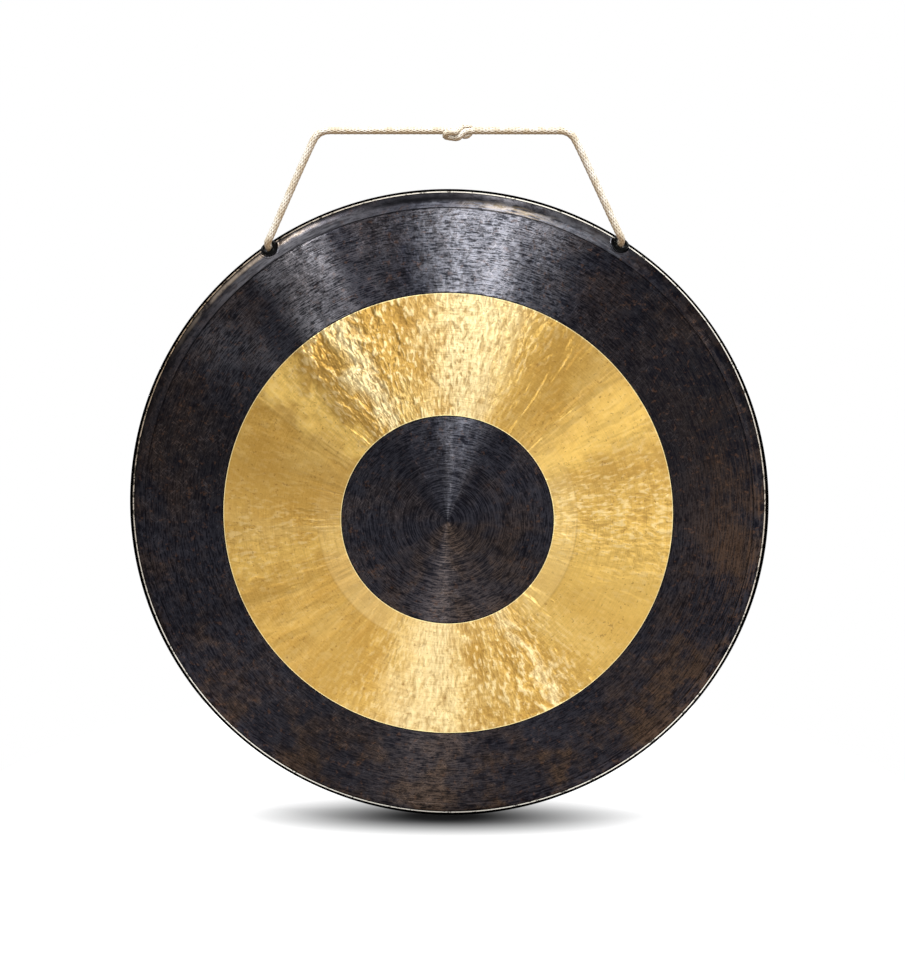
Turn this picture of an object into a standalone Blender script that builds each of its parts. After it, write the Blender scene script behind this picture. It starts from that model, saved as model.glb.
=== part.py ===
"""A hanging tam-tam: a hammered bronze disc with a turned-back rim, carried by a braided cord.

Sizes are in metres and +Z is up. The face looks along -Y. The origin is the middle of the cord's
level run, on its centreline, which is where the two pegs of a stand carry the gong.
"""

import math

import bmesh
import bpy
from mathutils import Matrix, Vector

MM = 0.001

# Bronze disc, turned about its own axis
GONG_RADIUS = 0.305
DOME_RADIUS = 1.5
SHOULDER_RADIUS = 0.015
PLATE_THICKNESS = 0.0022
RIM_DEPTH = 0.048
RIM_TAPER = math.radians(3)
BAND_INNER_RADIUS = 0.0995
BAND_OUTER_RADIUS = 0.2115
LINE_INSET = 0.0165
LINE_WIDTH = 0.0014
LINE_DEPTH = 0.0006
TURNING_STEPS = 96
DOME_STEP = 0.034
ARC_STEP = math.radians(10)

# The two eyelets on the shoulder
HOLE_HALF_ANGLE = math.radians(32.7)
HOLE_SHOULDER_ANGLE = math.radians(48)
HOLE_RADIUS = 0.006
GROMMET_BORE_RADIUS = 0.0048
FLANGE_WIDTH = 0.0032
FLANGE_WALL = 0.0006
FLANGE_CROWN = 0.0020
GROMMET_STEPS = 24
SEAT_GAP = 0.0005
NECK_GAP = 0.0003

# How the gong hangs
PEG_SPACING = 0.2308
HANG_DROP = 0.0989
GONG_ROLL = math.radians(0.78)

# Cord
CORD_RADIUS = 0.0035
KNOT_STRAND_RADIUS = 0.00245
PEG_BEND_REACH = 0.0108
RUN_CUT = 0.0130
KNOT_OFFSET = 0.0125
CORD_STEP = 0.0170
CUT_GAP = 0.0004

# Where the cord passes an eyelet, in millimetres from the eyelet's centre: towards the gong's
# middle, up along the face and forward of it. The first point is on the straight stretch above.
EYELET_ROUTE = (
    (3.1, 14.0, 6.0),
    (0.85, 9.4, 5.8),
    (-1.0, 5.7, 4.2),
    (0.0, 0.0, 0.0),
    (2.0, -2.9, -3.2),
    (6.6, -4.3, -5.3),
    (13.0, -4.6, -5.6),
)
TILT_PIVOT = (6.5, 6.0)

# Half of a loose overhand knot's line, in millimetres from its middle. The other half is the
# same line turned half round about Y. The knot is then drawn tight, turned round the cord and
# let down a little.
KNOT_HALF_ROUTE = (
    (-18.5, 0.0, 0.0),
    (-17.0, 0.0, 0.0),
    (-13.2, -0.7, 0.9),
    (-8.4, -1.4, 1.1),
    (-4.1, -0.1, 3.2),
    (-1.8, 1.6, 4.5),
    (0.6, 3.1, 4.6),
    (8.7, 5.4, 1.6),
    (12.4, 4.5, 3.4),
    (13.4, 1.6, 6.0),
    (11.9, -1.9, 6.6),
    (6.9, -3.8, 5.7),
    (3.0, -3.1, 3.8),
)
KNOT_CENTRE = (0.0, -3.8, 0.0)
KNOT_TIGHTENED = 0.85
KNOT_TURN = math.radians(300)
KNOT_SAG = 2.3
KNOT_NECK_SHARE = 0.06

BRONZE_PATINA = (0.035, 0.032, 0.036, 1.0)
BRONZE_POLISHED = (0.78, 0.53, 0.20, 1.0)
RUBBER_BLACK = (0.012, 0.012, 0.014, 1.0)
COTTON_CREAM = (0.80, 0.72, 0.58, 1.0)

SHOULDER_CENTRE_R = GONG_RADIUS - SHOULDER_RADIUS
SHOULDER_CENTRE_Z = -DOME_RADIUS + math.sqrt(
    (DOME_RADIUS - SHOULDER_RADIUS) ** 2 - SHOULDER_CENTRE_R**2
)
SHOULDER_START = math.asin(SHOULDER_CENTRE_R / (DOME_RADIUS - SHOULDER_RADIUS))
SHOULDER_END = math.pi / 2 + RIM_TAPER
LINE_RADIUS = GONG_RADIUS - LINE_INSET


def clear_scene():
    for old in list(bpy.data.objects):
        bpy.data.objects.remove(old, do_unlink=True)


def collection(name):
    made = bpy.data.collections.new(name)
    bpy.context.scene.collection.children.link(made)
    return made


def material(name, colour, roughness, metallic):
    made = bpy.data.materials.new(name)
    made.use_nodes = True
    shader = made.node_tree.nodes["Principled BSDF"]
    shader.inputs["Base Color"].default_value = colour
    shader.inputs["Roughness"].default_value = roughness
    shader.inputs["Metallic"].default_value = metallic
    made.diffuse_color = colour
    return made


def empty(name, matrix, group):
    made = bpy.data.objects.new(name, None)
    made.matrix_world = matrix
    made.empty_display_size = 0.03
    group.objects.link(made)
    return made


def even_steps(start, end, step):
    """Values from start to end, no further apart than step."""
    count = max(1, math.ceil(abs(end - start) / step))
    return [start + (end - start) * i / count for i in range(count + 1)]


# The disc's section. A point is (distance from the axis, height towards the viewer), and the
# middle of the face is at height 0.


def dome_height(radius, inset=0.0):
    return math.sqrt((DOME_RADIUS - inset) ** 2 - radius**2) - DOME_RADIUS


def shoulder_point(angle, inset=0.0):
    """A point of the shoulder's arc, angle round from the face, inset under the outer surface."""
    reach = SHOULDER_RADIUS - inset
    return (
        SHOULDER_CENTRE_R + reach * math.sin(angle),
        SHOULDER_CENTRE_Z + reach * math.cos(angle),
    )


def rim_end_height():
    return shoulder_point(SHOULDER_START)[1] - RIM_DEPTH


def rim_point(height, inset=0.0):
    """A point of the tapered rim wall, at a height, inset under the outer surface."""
    start_r, start_z = shoulder_point(SHOULDER_END, inset)
    return (start_r - (start_z - height) * math.tan(RIM_TAPER), height)


def disc_profile():
    """The closed section, from the middle of the face out, round the rim and back inside."""
    face_radii = (
        even_steps(0.0, BAND_INNER_RADIUS, DOME_STEP)
        + even_steps(BAND_INNER_RADIUS, BAND_OUTER_RADIUS, DOME_STEP)[1:]
        + even_steps(BAND_OUTER_RADIUS, LINE_RADIUS - LINE_WIDTH / 2, DOME_STEP)[1:]
    )
    outside = [(r, dome_height(r)) for r in face_radii]
    outside.append((LINE_RADIUS, dome_height(LINE_RADIUS) - LINE_DEPTH))
    outside.append((LINE_RADIUS + LINE_WIDTH / 2, dome_height(LINE_RADIUS + LINE_WIDTH / 2)))
    shoulder = even_steps(SHOULDER_START, SHOULDER_END, ARC_STEP)
    outside += [shoulder_point(a) for a in shoulder]
    outside.append(rim_point(rim_end_height()))

    inside = [rim_point(rim_end_height(), PLATE_THICKNESS)]
    inside += [shoulder_point(a, PLATE_THICKNESS) for a in reversed(shoulder)]
    inner_radii = even_steps(inside[-1][0], 0.0, DOME_STEP)[1:]
    inside += [(r, dome_height(r, PLATE_THICKNESS)) for r in inner_radii]
    return outside + inside


def centroid_height(profile):
    """Height of the centre of mass of the solid that the closed section makes when turned."""
    moment = 0.0
    volume = 0.0
    for (r0, z0), (r1, z1) in zip(profile, profile[1:] + profile[:1]):
        cross = r0 * z1 - r1 * z0
        volume += cross * (r0 + r1) / 6
        moment += cross * (r0 * (2 * z0 + z1) + r1 * (z0 + 2 * z1)) / 24
    return moment / volume


def turned(name, profile, steps):
    """A closed section turned about Z with a Screw modifier. It starts at +X, outer side down."""
    mesh = bpy.data.meshes.new(name)
    points = [(r, 0.0, z) for r, z in profile]
    edges = [(i, (i + 1) % len(points)) for i in range(len(points))]
    if profile[0][0] == 0.0:
        edges.pop()
    mesh.from_pydata(points, edges, [])
    made = bpy.data.objects.new(name, mesh)
    screw = made.modifiers.new("turn", "SCREW")
    screw.axis = "Z"
    screw.angle = 2 * math.pi
    screw.steps = steps
    screw.render_steps = steps
    screw.use_merge_vertices = True
    screw.merge_threshold = 0.00001
    screw.use_smooth_shade = True
    return made


def frozen(made, group):
    """The object with its modifiers made part of its mesh."""
    bpy.context.view_layer.update()
    depsgraph = bpy.context.evaluated_depsgraph_get()
    mesh = bpy.data.meshes.new_from_object(made.evaluated_get(depsgraph))
    fixed = bpy.data.objects.new(made.name, mesh)
    fixed.matrix_world = made.matrix_world
    name = made.name
    bpy.data.objects.remove(made)
    fixed.name = name
    group.objects.link(fixed)
    return fixed


def hole_matrix(side):
    """An eyelet's own frame in the disc's: X round the rim, Y towards the rim, Z out of the
    shoulder. Its origin is midway through the plate. side is -1 on the left and 1 on the right."""
    radius, height = shoulder_point(HOLE_SHOULDER_ANGLE, PLATE_THICKNESS / 2)
    cosine = math.cos(HOLE_SHOULDER_ANGLE)
    sine = math.sin(HOLE_SHOULDER_ANGLE)
    at_top = Matrix(
        (
            (1, 0, 0, 0),
            (0, cosine, sine, radius),
            (0, -sine, cosine, height),
            (0, 0, 0, 1),
        )
    )
    return Matrix.Rotation(-side * HOLE_HALF_ANGLE, 4, "Z") @ at_top


def make_disc(group, cutters, patina, polished):
    disc = turned("gong_disc", disc_profile(), TURNING_STEPS)
    group.objects.link(disc)
    for side, word in ((-1, "left"), (1, "right")):
        mesh = bpy.data.meshes.new("hole_cutter_" + word)
        shape = bmesh.new()
        bmesh.ops.create_cone(
            shape,
            cap_ends=True,
            segments=GROMMET_STEPS,
            radius1=HOLE_RADIUS,
            radius2=HOLE_RADIUS,
            depth=PLATE_THICKNESS * 5,
        )
        shape.to_mesh(mesh)
        shape.free()
        cutter = bpy.data.objects.new("hole_cutter_" + word, mesh)
        cutter.matrix_world = hole_matrix(side)
        cutter.hide_render = True
        cutter.display_type = "WIRE"
        cutters.objects.link(cutter)
        hole = disc.modifiers.new("hole_" + word, "BOOLEAN")
        hole.operation = "DIFFERENCE"
        hole.object = cutter
    disc = frozen(disc, group)
    disc.data.materials.clear()
    disc.data.materials.append(patina)
    disc.data.materials.append(polished)
    for face in disc.data.polygons:
        distance = Vector(face.center[:2]).length
        on_band = BAND_INNER_RADIUS < distance < BAND_OUTER_RADIUS
        face.material_index = 1 if on_band and face.normal.z > 0 else 0
    disc.data.set_sharp_from_angle(angle=math.radians(35))
    return disc


def grommet_profile():
    """The rubber ring's section in the eyelet's frame: two lips and the neck between them."""
    outer = GROMMET_BORE_RADIUS + FLANGE_WIDTH
    middle = (GROMMET_BORE_RADIUS + outer) / 2
    seat = PLATE_THICKNESS / 2 + SEAT_GAP
    lip = seat + FLANGE_WALL
    neck = HOLE_RADIUS - NECK_GAP
    arc = [math.pi * i / 6 for i in range(7)]
    top = [(middle - FLANGE_WIDTH / 2 * math.cos(a), lip + FLANGE_CROWN * math.sin(a)) for a in arc]
    bottom = [(r, -z) for r, z in reversed(top)]
    return top + [(outer, seat), (neck, seat), (neck, -seat), (outer, -seat)] + bottom


def shoulder_fall(around, across, height):
    """How far the shoulder falls away from the eyelet's flat plane, across and round the rim."""
    bend = SHOULDER_RADIUS if height > 0 else SHOULDER_RADIUS - PLATE_THICKNESS
    turn = shoulder_point(HOLE_SHOULDER_ANGLE)[0] / math.sin(HOLE_SHOULDER_ANGLE)
    return bend - math.sqrt(bend**2 - across**2) + around**2 / (2 * turn)


def make_grommet(word, side, group, rubber):
    ring = turned("grommet_" + word, grommet_profile(), GROMMET_STEPS)
    group.objects.link(ring)
    ring = frozen(ring, group)
    for vertex in ring.data.vertices:
        vertex.co.z -= shoulder_fall(*vertex.co)
    ring.data.transform(hole_matrix(side))
    ring.data.materials.clear()
    ring.data.materials.append(rubber)
    ring.data.set_sharp_from_angle(angle=math.radians(50))
    return ring


# Cord routes


def spline_point(points, share):
    """A point between the middle two of four, on a Catmull-Rom curve paced by chord length."""
    knots = [0.0]
    for start, end in zip(points, points[1:]):
        knots.append(knots[-1] + math.sqrt((end - start).length))
    at = knots[1] + (knots[2] - knots[1]) * share
    layer = list(points)
    for width in (1, 2):
        layer = [
            layer[i].lerp(layer[i + 1], (at - knots[i]) / (knots[i + width] - knots[i]))
            for i in range(len(layer) - 1)
        ]
    return layer[0].lerp(layer[1], (at - knots[1]) / (knots[2] - knots[1]))


def smooth_line(route, step=CORD_STEP, least=2):
    """Points along the smooth curve through a route's own points, a straight span in long steps."""
    ends = [2 * route[0] - route[1]] + list(route) + [2 * route[-1] - route[-2]]
    line = []
    for i in range(len(route) - 1):
        count = max(least, math.ceil((route[i + 1] - route[i]).length / step))
        line += [spline_point(ends[i : i + 4], k / count) for k in range(count)]
    return line + [route[-1]]


def bend(start, corner, end, reach):
    """Five points of the curve that rounds a corner of the cord, reach to each side of it."""
    first = corner + (start - corner).normalized() * reach
    last = corner + (end - corner).normalized() * reach
    return [first.lerp(corner, t).lerp(corner.lerp(last, t), t) for t in (0, 0.25, 0.5, 0.75, 1)]


def trimmed(line):
    """The line with each end drawn back by half of the gap that two cord pieces keep."""
    back = CUT_GAP / 2
    line = [point.copy() for point in line]
    line[0] += (line[1] - line[0]).normalized() * back
    line[-1] += (line[-2] - line[-1]).normalized() * back
    return line


def cord_piece(name, line, group, cotton, radius=None):
    """A tube along the line. radius gives the cord's half thickness at a share of its length."""
    curve = bpy.data.curves.new(name, "CURVE")
    curve.dimensions = "3D"
    curve.bevel_depth = CORD_RADIUS
    curve.bevel_resolution = 3
    curve.use_fill_caps = True
    spline = curve.splines.new("POLY")
    line = trimmed(line)
    spline.points.add(len(line) - 1)
    for i, (point, place) in enumerate(zip(spline.points, line)):
        point.co = (*place, 1.0)
        if radius:
            point.radius = radius(i / (len(line) - 1)) / CORD_RADIUS
    curve.materials.append(cotton)
    made = bpy.data.objects.new(name, curve)
    group.objects.link(made)
    return made


def eyelet_route(side):
    """The cord's points where it passes an eyelet, in the disc's frame."""
    centre = hole_matrix(side).translation
    return [
        centre + Vector((-side * inward, up, forward)) * MM for inward, up, forward in EYELET_ROUTE
    ]


def knot_reach():
    """From the knot's middle to each end of it, in millimetres."""
    return -KNOT_HALF_ROUTE[0][0] * KNOT_TIGHTENED


def knot_line():
    half = [Vector(point) for point in KNOT_HALF_ROUTE]
    other = [Vector((-x, y, -z)) for x, y, z in reversed(KNOT_HALF_ROUTE)]
    turn = Matrix.Rotation(KNOT_TURN, 3, "X") * KNOT_TIGHTENED
    middle = Vector((KNOT_OFFSET, 0, 0))
    route = []
    for point in half + [Vector(KNOT_CENTRE)] + other:
        placed = turn @ point
        placed.z -= KNOT_SAG * (1 - (placed.x / knot_reach()) ** 2) ** 2
        route.append(middle + placed * MM)
    return smooth_line(route, least=3)


def knot_radius(share):
    """The cord is full at both ends of the knot and squeezed inside it."""
    inside = min(1.0, min(share, 1 - share) / KNOT_NECK_SHARE)
    return CORD_RADIUS + (KNOT_STRAND_RADIUS - CORD_RADIUS) * inside


def tilt_pivot():
    """The middle of the line that the gong tilts about, in the disc's frame."""
    centre = hole_matrix(1).translation
    up, forward = TILT_PIVOT
    return Vector((0.0, centre.y + up * MM, centre.z + forward * MM))


def gong_matrix():
    """Turns the disc's frame upright about its pivot. The lean brings its centre of mass
    straight under the line that it hangs from."""
    pivot = tilt_pivot()
    lean = math.atan2(centroid_height(disc_profile()) - pivot.z, pivot.y)
    turn = Matrix.Rotation(math.pi / 2 + lean, 4, "X") @ Matrix.Rotation(GONG_ROLL, 4, "Z")
    return Matrix.Translation((0, 0, -HANG_DROP)) @ turn


def build():
    clear_scene()
    group = collection("tam_tam")
    cutters = collection("tam_tam_cutters")
    patina = material("bronze_patina", BRONZE_PATINA, 0.42, 1.0)
    polished = material("bronze_polished", BRONZE_POLISHED, 0.30, 1.0)
    rubber = material("rubber_black", RUBBER_BLACK, 0.25, 0.0)
    cotton = material("cotton_cream", COTTON_CREAM, 0.9, 0.0)

    swing_axis = empty("swing_axis", Matrix.Identity(4), group)
    tilt_axis = empty("tilt_axis", gong_matrix(), group)
    tilt_axis.parent = swing_axis
    pivot = tilt_pivot()
    to_world = gong_matrix() @ Matrix.Translation(-pivot)

    disc = make_disc(group, cutters, patina, polished)
    on_gong = [disc]
    passing = {}
    for side, word in ((-1, "left"), (1, "right")):
        on_gong.append(make_grommet(word, side, group, rubber))
        route = eyelet_route(side)
        passing[side] = route
        on_gong.append(cord_piece("cord_eyelet_" + word, smooth_line(route), group, cotton))

        corner = Vector((side * PEG_SPACING / 2, 0, 0))
        cut = Vector((side * (PEG_SPACING / 2 - RUN_CUT), 0, 0))
        foot = to_world @ route[0]
        leg = [cut] + bend(cut, corner, foot, PEG_BEND_REACH) + [foot]
        leg_piece = cord_piece("cord_side_" + word, smooth_line(leg), group, cotton)
        leg_piece.parent = swing_axis

        knot_end = Vector((KNOT_OFFSET + side * knot_reach() * MM, 0, 0))
        cord_piece("cord_top_" + word, smooth_line([knot_end, cut]), group, cotton)

    back = smooth_line([passing[-1][-1], passing[1][-1]])
    on_gong.append(cord_piece("cord_back_run", back, group, cotton))
    for piece in on_gong:
        piece.parent = tilt_axis
        piece.location = -pivot
    for cutter in cutters.objects:
        cutter.parent = tilt_axis
        cutter.matrix_basis = Matrix.Translation(-pivot) @ cutter.matrix_basis

    knot = knot_line()
    cord_piece("cord_knot", knot, group, cotton, knot_radius)
    bpy.context.view_layer.update()


build()
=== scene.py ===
"""A tam-tam hanging by its cord: hammered bronze with a polished ring, rubber eyelets, cotton braid."""

import math

import bpy
import numpy as np
from mathutils import Matrix, Vector


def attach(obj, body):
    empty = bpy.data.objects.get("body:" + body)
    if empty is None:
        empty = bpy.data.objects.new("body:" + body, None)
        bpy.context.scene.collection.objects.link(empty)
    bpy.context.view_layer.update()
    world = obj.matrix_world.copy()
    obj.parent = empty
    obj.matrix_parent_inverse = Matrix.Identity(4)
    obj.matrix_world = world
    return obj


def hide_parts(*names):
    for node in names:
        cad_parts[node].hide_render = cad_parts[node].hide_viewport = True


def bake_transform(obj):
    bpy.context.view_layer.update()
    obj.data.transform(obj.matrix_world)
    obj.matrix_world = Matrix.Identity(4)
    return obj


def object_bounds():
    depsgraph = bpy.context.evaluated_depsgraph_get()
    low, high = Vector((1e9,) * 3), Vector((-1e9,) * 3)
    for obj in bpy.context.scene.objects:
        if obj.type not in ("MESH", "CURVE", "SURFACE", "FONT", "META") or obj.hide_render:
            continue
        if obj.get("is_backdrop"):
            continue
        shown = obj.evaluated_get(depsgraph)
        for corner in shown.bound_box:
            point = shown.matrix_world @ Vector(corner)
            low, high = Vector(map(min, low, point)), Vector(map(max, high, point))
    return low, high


MM = 0.001

# Bronze disc
GONG_RADIUS = 0.305
DOME_RADIUS = 1.5
SHOULDER_RADIUS = 0.015
PLATE_THICKNESS = 0.0022
RIM_DEPTH = 0.048
RIM_TAPER = math.radians(3)
EDGE_ROUNDING = 0.0005
BAND_INNER_RADIUS = 0.0995
BAND_OUTER_RADIUS = 0.2115
BAND_EDGE = 0.0009
TOOL_STEP_RADIUS = 0.1215
LINE_RADIUS = 0.2885
LINE_WIDTH = 0.0014
LINE_DEPTH = 0.0006
BARE_LINE = 58.0
BARE_LINE_BELOW = 34.0
BARE_LINE_HALF_WIDTH = 3.8
BARE_LINE_SOFTNESS = 1.2
# Where the bare line lies nearer the face, and where it is dull: clock angle, reach to each side, amount
BARE_LINE_SHIFTS = ((180.0, 150.0, BARE_LINE_BELOW - BARE_LINE), (-90.0, 75.0, -9.0), (90.0, 45.0, -8.0))
BARE_LINE_DULL = ((-55.0, 75.0, 1.0), (90.0, 40.0, 0.6))
FACE_STEP = 0.0022
BACK_STEP = 0.005
SHOULDER_STEP = math.radians(3)
TURNING_STEPS = 480
# Clock angles are in degrees from the top of the disc, to the right
# Highlights, light and shade painted on the bright ring in sectors: clock angle, reach to each side,
# strength
PAINTED_HIGHLIGHT_SECTORS = ((-29.0, 7.0, 0.85), (7.5, 21.0, 0.82), (150.0, 4.5, 0.65), (187.0, 20.0, 0.65))
PAINTED_LIGHT_SECTORS = ((61.0, 13.0, 0.85), (104.0, 36.0, 0.80), (136.0, 14.0, 0.40), (-49.0, 9.0, 1.0),
              (-102.0, 7.0, 0.50))
PAINTED_SHADE_SECTORS = ((-41.0, 7.0, 0.5), (-12.0, 7.0, 0.5), (-76.0, 24.0, 0.45), (76.0, 7.0, 0.40),
              (168.0, 9.0, 0.5), (36.0, 9.0, 0.15), (218.0, 26.0, 0.35))
# Where the hammer marks show most
HAMMERED = ((-20.0, 42.0, 1.0), (10.0, 30.0, 0.7), (88.0, 30.0, 0.7), (158.0, 34.0, 0.9),
            (190.0, 30.0, 0.6), (-97.0, 22.0, 0.3))
UNHAMMERED_SHARE = 0.16
# Hammer dents: how many, least and most radius, depth
DENTS = ((340, 0.010, 0.022, 0.00085), (1500, 0.004, 0.009, 0.00028))
DENTED_RADIUS = 0.280
DENT_RAISED_SHARE = 0.45
DENT_SPREAD = 2.5
WAVE_HEIGHT = 0.00012
HAMMERING_ENDS = 0.004
HAMMERING_FADES = 0.02
# A grey sheen painted on the dark finish as a highlight: clock angle, reach to each side, strength
PAINTED_SHEEN_ABOVE = ((7.5, 18.0, 0.95), (23.0, 9.0, 0.18), (-14.0, 13.0, 0.10))
PAINTED_SHEEN_BESIDE = ((-30.0, 10.0, 1.05), (-50.0, 14.0, 0.11))
PAINTED_SHEEN_BELOW = ((186.0, 16.0, 0.12),)
PAINTED_SHEEN_MIDDLE = ((168.0, 70.0, 0.085),)
# Sectors where the dark finish is darker, away from the middle and in it: clock angle, reach to each side,
# strength. The one in the middle is shade painted over a lamp's reflection.
DARKER_SECTORS = ((66.0, 48.0, 0.80), (-76.0, 26.0, 0.65), (206.0, 26.0, 0.35))
MIDDLE_PAINTED_SHADE = ((-32.0, 22.0, 0.12),)
# Parts of the disc and of its shoulder: clock angle, reach to each side
LOWER_PART = (165.0, 120.0)
UPPER_PART = (-5.0, 50.0)
STREAKED_PART = (108.0, 46.0)
SMOOTH_PART = (95.0, 70.0)
GROOVE_PART = (-30.0, 90.0)
TOOLED_PARTS = ((105.0, 75.0), (225.0, 85.0))
SHOULDER_SMOOTH = (-20.0, 80.0)
SHOULDER_LIT = (26.0, 13.0)
SHOULDER_PAINTED_SHEEN = (-29.0, 24.0)
SHOULDER_GOLDEN = (12.0, 12.0)
SHOULDER_SHADED = (-4.0, 33.0)
SHOULDER_RUBBED_HIGHLIGHT = (-40.0, 21.0)

# The marks' sizes, in metres: along the turning and across it, or across a ray and along it
RAY_RADIUS = BAND_OUTER_RADIUS * 0.7
RING_LINE = (0.030, 0.0010)
RING_FAN = (0.024, 0.110)
RING_DENT = (0.0030, 0.0080)
DARK_LINE = (0.0075, 0.0009)
DARK_RING = (0.030, 0.0008)
DARK_FAN = (0.022, 0.070)
SCUFF = (0.014, 0.0006)
STROKE_LENGTHWISE = 105.0
STROKE_CROSSWISE = 640.0
# The noises' scales, in marks for each metre
CLOUDS = 24.0
PATCHES = 50.0
BLOTCHES = 85.0
WEAR = 110.0
MARKS = 120.0
FLECKS = 190.0
DINTS = 210.0
PITS = 300.0
RUBBED_HIGHLIGHT_PATCHES = 40.0
EDGE_CLOUDS = 200.0
NICKS = 480.0
FINE_GRAIN = 520.0
FINEST_GRAIN = 600.0
DUST = 700.0
LINT = 160.0
# Where a noise begins to show as a mark, and where it shows fully
RING_TONE = (0.38, 0.62)
FAN_SHADE_SHOWS = (0.50, 0.36)
FAN_LIGHT_SHOWS = (0.50, 0.64)
RING_LINES_SHOW = (0.53, 0.38)
PAINTED_DENT_SHADE_SHOWS = (0.50, 0.38)
PAINTED_GLINTS_SHOW = (0.50, 0.62)
PITS_SHOW = (0.60, 0.68)
DARK_TONE = (0.437, 0.595)
BROWN_SHOWS = (0.43, 0.61)
STROKES_SHOW = (0.56, 0.66)
FLECKS_SHOW = (0.58, 0.66)
SCRATCHES_SHOW = (0.70, 0.88)
STREAKS_SHOW = (0.48, 0.60)
SCUFFS_SHOW = (0.38, 0.60)
LIT_SHOWS = (0.3, 0.6)
RUBBED_HIGHLIGHT_SHOWS = (0.75, 1.05)
NICKS_SHOW = (0.55, 0.61)
LINT_SHOWS = (0.35, 0.7)
YARNS_SHOW = (0.55, 0.30)
# The shares in which noises make up a mark
RING_TONE_SHARES = (0.25, 0.30, 0.45)
BEATEN_SHARES = (0.62, 0.20, 0.18)
BROWN_SHARES = (0.80, 0.20)
STREAK_SHARES = (0.52, 0.25, 0.23)
NICK_SHARES = (0.55, 0.45, 0.07)
# The same for the dark finish's lines, rings, blotches and grain: outside, and what the middle adds
DARK_SHARES = ((0.50, -0.14), (0.14, 0.24), (0.22, -0.08), (0.18, -0.04))
# How strongly marks show: how much more in some places, and how much everywhere
FAN_STRENGTH = (0.35, 0.12)
RING_LINE_STRENGTH = (0.30, 0.10)
PAINTED_DENT_LIGHT_STRENGTH = (0.62, 0.08)
BROWN_STRENGTH = (0.60, 0.45)
SCRATCH_STRENGTH = (0.42, 0.22)
STREAK_STRENGTH = (0.82, 0.18)
HIGHLIGHT_STREAKS_RIGHT = (0.5, 0.2)
SHEEN_STREAKS_LEFT = (0.6, 0.2)
GROOVE_STRENGTH = (0.6, 0.05)
# How strongly a colour covers what is under it, 1 at most
PIT_COVER = 0.5
TOOLED_COVER = 0.22
TOOL_STEP_COVER = 0.4
FLECK_COVER = 0.26
STREAK_COVER = 0.39
SHEEN_COVER = 0.4
GOLDEN_COVER = 0.30
ROLL_SHADE_COVER = 0.9
RUBBED_HIGHLIGHT_COVER = 0.8
RIM_SHADE_COVER = 0.9
UNDERSIDE_SHADE_COVER = 0.90
BETWEEN_COVER = 0.30
YARN_COVER = 0.25
# The share of their relief that hammer marks have away from the hammered parts
DENT_LEAST = 0.06
PATCH_LEAST = 0.12
MARK_LEAST = 0.10
# The relief of the ring and of the dark finish, in metres
DENT_HEIGHT = 0.0013
PATCH_HEIGHT = 0.0045
FAN_HEIGHT = 0.0030
DINT_HEIGHT = 0.00045
GRAIN_HEIGHT = 0.00006
LINE_HEIGHT = 0.00002
DARK_LINE_HEIGHT = 0.00008
BLOTCH_HEIGHT = 0.00030
STROKE_HEIGHT = 0.00002
CLOUD_HEIGHT = 0.0010
MARK_HEIGHT = 0.00050
# The finishes
RING_BRUSHED = 0.97
SHOULDER_BRUSHED = 0.5
LENGTHWISE = 0.25
RIM_ROUGHNESS = 0.42
EDGE_ROUGHNESS = 0.5
COTTON_ROUGHNESS = 0.9
# Roughness that follows a noise: noise from and to, roughness from and to
RING_ROUGHNESS = (0.3, 0.7, 0.40, 0.45)
DARK_ROUGHNESS = (0.3, 0.7, 0.33, 0.40)
SHOULDER_ROUGHNESS = (0.3, 0.7, 0.28, 0.36)
RUBBER_ROUGHNESS = (0.3, 0.75, 0.08, 0.20)
SECTOR_WANDER = 22.0
TOOL_STEP_WIDTH = 0.0016
TOOLED_TO = (TOOL_STEP_RADIUS + 0.0008, TOOL_STEP_RADIUS - 0.0004)
BARE_EDGE_CORE = 0.0003
# The dark finish, by distance from the axis
MIDDLE_TURNED = (0.115, 0.090)
MIDDLE_RINGED = (0.085, 0.045)
FLECKS_FROM = (0.03, 0.09)
STREAKS_FROM = (0.212, 0.268)
# The dark finish's brown and painted sheen. Four numbers: place or noise from and to, strength from and to
BROWN_BY_RING = (0.0, 0.06, 0.45, 1.0)
MIDDLE_LESS_SHEEN = (0.11, 0.15, 0.3, 1.0)
FANS_IN_SHEEN = (0.38, 0.62, 0.50, 1.30)
BROWN_BELOW = 0.12
BROWN_LOST_MIDDLE = 0.3
BROWN_LOST_ABOVE = 0.7
MIDDLE_SHEEN_LEAST = 0.014
SCRATCHES_LOST = 0.6
# The shoulder's parts, in degrees of its roll: 0 on the face, 90 at the rim
ROLL_PAINTED_SHEEN = (33.0, 24.0)
ROLL_GOLDEN = (32.0, 22.0)
ROLL_SHADED = (12.0, 28.0)
ROLL_RUBBED_HIGHLIGHT = (37.0, 13.0, 2.0)
PAINTED_SHADE_BEYOND_LINE_FROM = (-8.5, -5.5)
NICKED_SHARE = 0.8
BARE_LINE_MATT = 0.95
# The rim's shade, by height
RIM_SHADE_FROM = (-0.050, -0.038)
# The rubber's and the cotton's marks
DUST_HEIGHT = 0.00002
YARN_HEIGHT = 0.00012
LINT_HEIGHT = 0.0001
YARNS_ACROSS = 9.0
YARNS_ALONG = 1.5
UNDERSIDE_SHADE_FACING = (0.30, -0.60)
BETWEEN_PLAITS = (0.30, 0.0)
PLAIT_GAP = (0.95, 0.50)

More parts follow.
